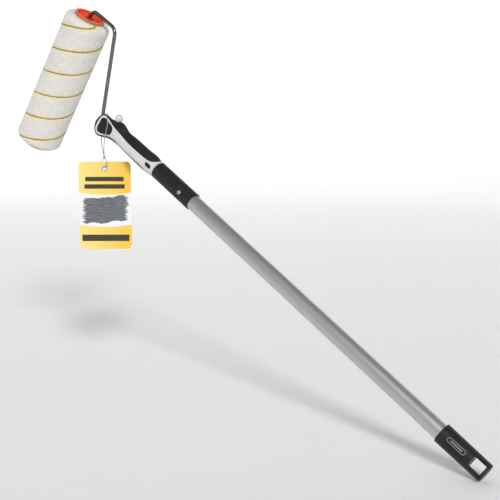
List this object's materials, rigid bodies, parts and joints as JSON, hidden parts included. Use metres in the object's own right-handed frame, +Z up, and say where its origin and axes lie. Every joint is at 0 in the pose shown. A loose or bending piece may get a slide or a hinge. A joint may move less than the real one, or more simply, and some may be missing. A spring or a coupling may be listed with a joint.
{
  "type": "paint roller on telescopic pole",
  "caption": "Wide woven-pile paint roller on a bent steel frame, with a soft-grip handle fixed to a twist-lock telescopic aluminium pole and a blank hang tag.",
  "frame": {"origin": "centre of the flat foot face of the pole's end cap", "axes": "+Z up; the pole leans 34 degrees above the ground in the XZ plane, foot at the origin and head towards -X; -Y is the side that faces the user"},
  "size_m": [0.8871, 0.078, 0.6585],
  "materials": {
    "tube_aluminium": "satin anodised",
    "cap_black": "fine matt moulded",
    "grip_black": "matt soft-touch",
    "core_silver": "metallic silver moulded",
    "rest_grey": "light grey moulded",
    "lock_white": "natural acetal",
    "lock_black": "moulded",
    "steel_zinc": "zinc plated",
    "wire_chrome": "bright plated",
    "plug_orange": "moulded",
    "bush_red": "moulded",
    "core_paper": "resin-wound tube",
    "nap_white": "short woven pile with fine gold threads",
    "card_yellow": "coated card",
    "string_grey": "twisted thread"
  },
  "bodies": {
    "outer_pole": {"outer_tube": "tube_aluminium", "end_cap": "cap_black", "collar": "cap_black", "guide_bush": "lock_white", "collar_rivet": "steel_zinc"},
    "expander": {"expander_sleeve": "lock_white"},
    "cone": {"cone_nut": "lock_black"},
    "head": {"inner_tube": "tube_aluminium", "lock_plug": "lock_black", "plug_pin": "steel_zinc", "lock_stud": "steel_zinc", "stud_nut": "steel_zinc", "pole_tip": "lock_black", "button_spring": "steel_zinc", "handle_core": "core_silver", "grip_overmould": "grip_black", "nose_inset_front": "grip_black", "nose_inset_back": "grip_black", "thumb_rest": "rest_grey", "wire_frame": "wire_chrome", "stop_washer": "bush_red", "tag_string": "string_grey", "string_knot": "string_grey", "tag_ring": "string_grey"},
    "button": {"release_button": "cap_black"},
    "bearings": {"near_bush": "bush_red", "far_bush": "bush_red", "guide_tube": "lock_white"},
    "cover": {"core_tube": "core_paper", "nap_cover": "nap_white", "near_plug": "plug_orange", "far_plug": "plug_orange"},
    "tag": {"hang_tag": "card_yellow", "tag_eyelet": "steel_zinc"}
  },
  "joints": [
    {"name": "extend", "type": "slide", "parent": "outer_pole", "child": "expander", "axis": [-0.829, 0, 0.5592], "range_m": [0, 0.48]},
    {"name": "twist_lock", "type": "hinge", "parent": "expander", "child": "head", "pos_m": [-0.06964, 0, 0.04697], "axis": [-0.829, 0, 0.5592], "range_deg": [0, 120]},
    {"name": "cone_draw", "type": "slide", "parent": "expander", "child": "cone", "axis": [0.829, 0, -0.5592], "range_m": [0, 0.00101]},
    {"name": "release_press", "type": "slide", "parent": "head", "child": "button", "axis": [0, 1, 0], "range_m": [0, 0.002], "stiffness_N_per_m": 1200, "springref_m": -0.001, "deforming": ["button_spring"]},
    {"name": "cover_pull_off", "type": "slide", "parent": "head", "child": "bearings", "axis": [-0.5592, 0, -0.829], "range_m": [0, 0.26]},
    {"name": "roller_spin", "type": "hinge", "parent": "bearings", "child": "cover", "pos_m": [-0.78261, 0, 0.52788], "axis": [0.5592, 0, 0.829], "continuous": true},
    {"name": "tag_swing", "type": "hinge", "parent": "head", "child": "tag", "pos_m": [-0.6865, 0, 0.3818], "axis": [0.5934, -0.8049, 0], "range_deg": [-20, 20]}
  ],
  "couplings": [
    {"joint": "cone_draw", "follows": "twist_lock", "m_per_rad": 0.00047746}
  ]
}
